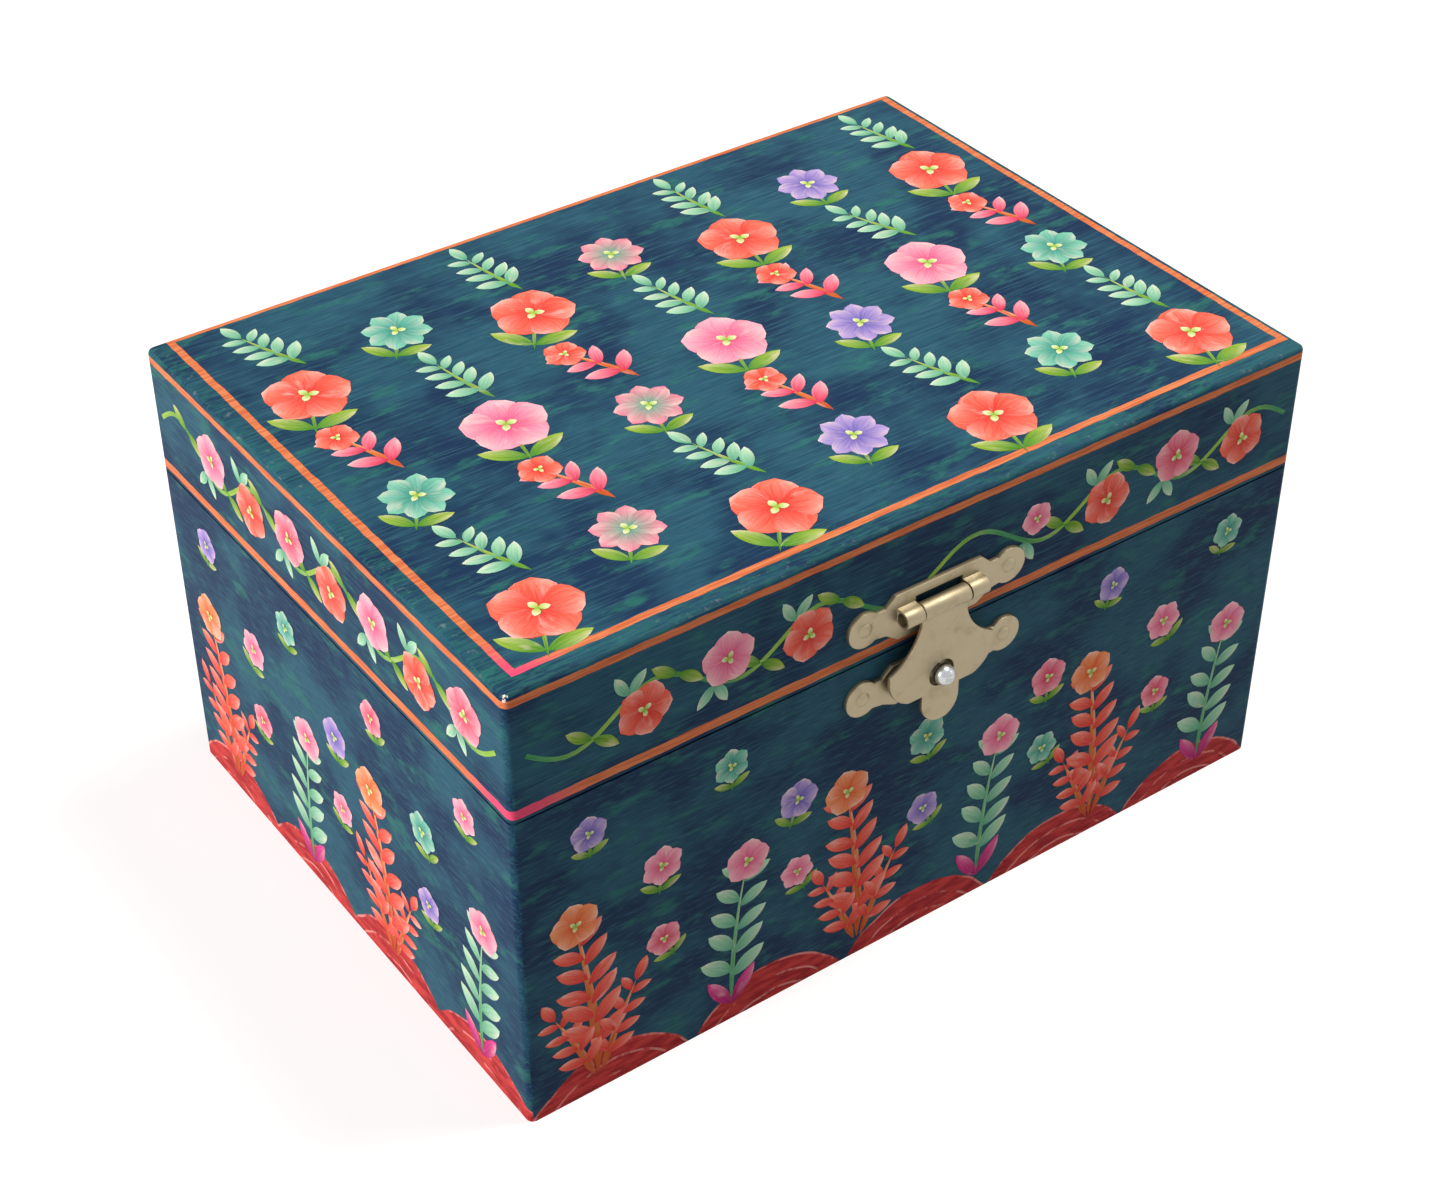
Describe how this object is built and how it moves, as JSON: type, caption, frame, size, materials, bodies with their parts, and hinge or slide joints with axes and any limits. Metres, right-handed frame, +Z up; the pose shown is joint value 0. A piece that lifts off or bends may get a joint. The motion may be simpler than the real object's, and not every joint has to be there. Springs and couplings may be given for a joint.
{
  "type": "musical jewelry box",
  "caption": "Paper-covered rectangular jewelry box with a hinged lid, nickel hasp, lined compartments, a lid mirror and a wind-up movement turning a small figure.",
  "frame": {"origin": "centre of the box's underside, which rests on z = 0", "axes": "+Z up, -Y out of the front with the hasp, +X to the right seen from the front along the width"},
  "size_m": [0.15, 0.1273, 0.084],
  "materials": {
    "print_paper": "printed paper, satin",
    "plain_paper": "plain paper, matte",
    "board": "bare grey board",
    "lining": "flocked velvet lining",
    "ring_roll": "velvet over foam",
    "nickel": "warm satin nickel plate",
    "steel": "bright steel",
    "brass": "turned brass",
    "zinc": "cast zinc",
    "mirror_glass": "silvered glass",
    "peg_wood": "birch dowel",
    "figure": "painted plastic",
    "net": "stiff net",
    "white_plastic": "moulded plastic"
  },
  "bodies": {
    "base": {"base_front_board": "board", "base_back_board": "board", "base_left_board": "board", "base_right_board": "board", "base_floor_board": "board", "base_print_paper": "print_paper", "bottom_paper": "plain_paper", "long_divider": "board", "cross_divider": "board", "housing_dividers": "board", "deck_board": "board", "deck_felt": "lining", "wall_lining": "lining", "rear_linings": "lining", "front_right_lining": "lining", "front_left_lining": "lining", "ring_rolls": "ring_roll", "hasp_lower_plate": "nickel", "hasp_stud": "nickel", "lower_hasp_nails": "nickel", "hinge_base_leaves": "nickel", "hinge_pins": "nickel", "base_hinge_nails": "nickel", "movement_bedplate": "zinc", "cylinder_bracket": "zinc", "governor_frame": "zinc", "comb_riser": "zinc", "tuned_comb": "steel", "comb_screws": "steel", "movement_screws": "steel", "deck_bushes": "white_plastic"},
    "lid": {"lid_print_paper": "print_paper", "lid_top_board": "board", "lid_front_board": "board", "lid_back_board": "board", "lid_side_boards": "board", "lid_side_lining": "lining", "mirror_frame": "lining", "mirror": "mirror_glass", "lid_stop_peg": "peg_wood", "hasp_upper_plate": "nickel", "hasp_pin": "nickel", "upper_hasp_nails": "nickel", "hinge_lid_leaves": "nickel", "lid_hinge_nails": "nickel"},
    "flap": {"hasp_flap": "nickel"},
    "key": {"winding_key": "nickel", "winding_arbor": "steel"},
    "barrel": {"spring_barrel": "brass", "mainspring": "steel"},
    "cylinder": {"pinned_cylinder": "brass", "cylinder_arbor": "brass"},
    "idler": {"idler_wheel": "brass"},
    "fly": {"governor_fly": "steel"},
    "figure": {"figure_spindle": "brass", "turntable": "white_plastic", "figure_spring": "steel", "dancer": "figure", "dancer_skirt": "net"},
    "stop": {"stop_rod": "steel"}
  },
  "joints": [
    {"name": "lid_hinge", "type": "hinge", "parent": "base", "child": "lid", "pos_m": [0, 0.0552, 0.061], "axis": [-1, 0, 0], "range_deg": [0, 100]},
    {"name": "flap_hinge", "type": "hinge", "parent": "lid", "child": "flap", "pos_m": [0, -0.0555, 0.0677], "axis": [-1, 0, 0], "range_deg": [0, 165]},
    {"name": "key_turn", "type": "hinge", "parent": "base", "child": "key", "pos_m": [-0.017, 0.06, 0.026], "axis": [0, 1, 0], "continuous": true},
    {"name": "barrel_turn", "type": "hinge", "parent": "base", "child": "barrel", "pos_m": [-0.017, 0.04, 0.026], "axis": [0, 1, 0], "continuous": true},
    {"name": "cylinder_turn", "type": "hinge", "parent": "base", "child": "cylinder", "pos_m": [0.006, 0.0321, 0.026], "axis": [1, 0, 0], "continuous": true},
    {"name": "idler_turn", "type": "hinge", "parent": "base", "child": "idler", "pos_m": [0.02, 0.0321, 0.016], "axis": [1, 0, 0], "continuous": true},
    {"name": "fly_turn", "type": "hinge", "parent": "base", "child": "fly", "pos_m": [0.025, 0.0241, 0.016], "axis": [1, 0, 0], "continuous": true},
    {"name": "figure_turn", "type": "hinge", "parent": "base", "child": "figure", "pos_m": [0.00505, 0.0321, 0.043], "axis": [0, 0, 1], "continuous": true},
    {"name": "stop_slide", "type": "slide", "parent": "base", "child": "stop", "axis": [0, 0, 1], "range_m": [0, 0.003]}
  ],
  "couplings": [
    {"joint": "cylinder_turn", "follows": "barrel_turn", "ratio": -3},
    {"joint": "idler_turn", "follows": "barrel_turn", "ratio": 12},
    {"joint": "fly_turn", "follows": "barrel_turn", "ratio": -48},
    {"joint": "figure_turn", "follows": "barrel_turn", "ratio": 2},
    {"joint": "stop_slide", "follows": "lid_hinge", "m_per_rad": 0.0017}
  ]
}
